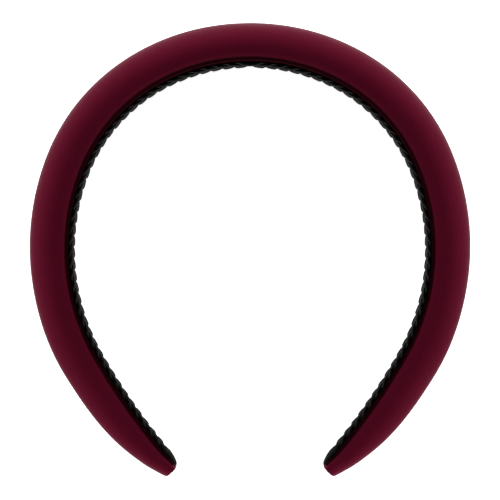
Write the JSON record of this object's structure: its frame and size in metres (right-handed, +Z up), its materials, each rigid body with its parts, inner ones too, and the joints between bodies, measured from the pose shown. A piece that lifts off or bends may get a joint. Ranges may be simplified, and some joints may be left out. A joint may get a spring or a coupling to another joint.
{
  "type": "padded headband",
  "caption": "Padded satin headband for the hair: a domed soft band that tapers to open ends, lined inside with a black plaited braid.",
  "frame": {"origin": "centre of the headband's box, on the surface that it lies on", "axes": "+Y towards the crown and -Y towards the open ends, +X across the band, +Z up out of the surface that it lies on, which is nearly along the band's front-to-back width"},
  "size_m": [0.1518, 0.1552, 0.0297],
  "materials": {
    "satin": "burgundy satin, smooth, soft sheen",
    "braid": "black plaited cord, matt"
  },
  "bodies": {
    "root": {"padded_band": "satin", "braid_lining": "braid"}
  },
  "joints": []
}
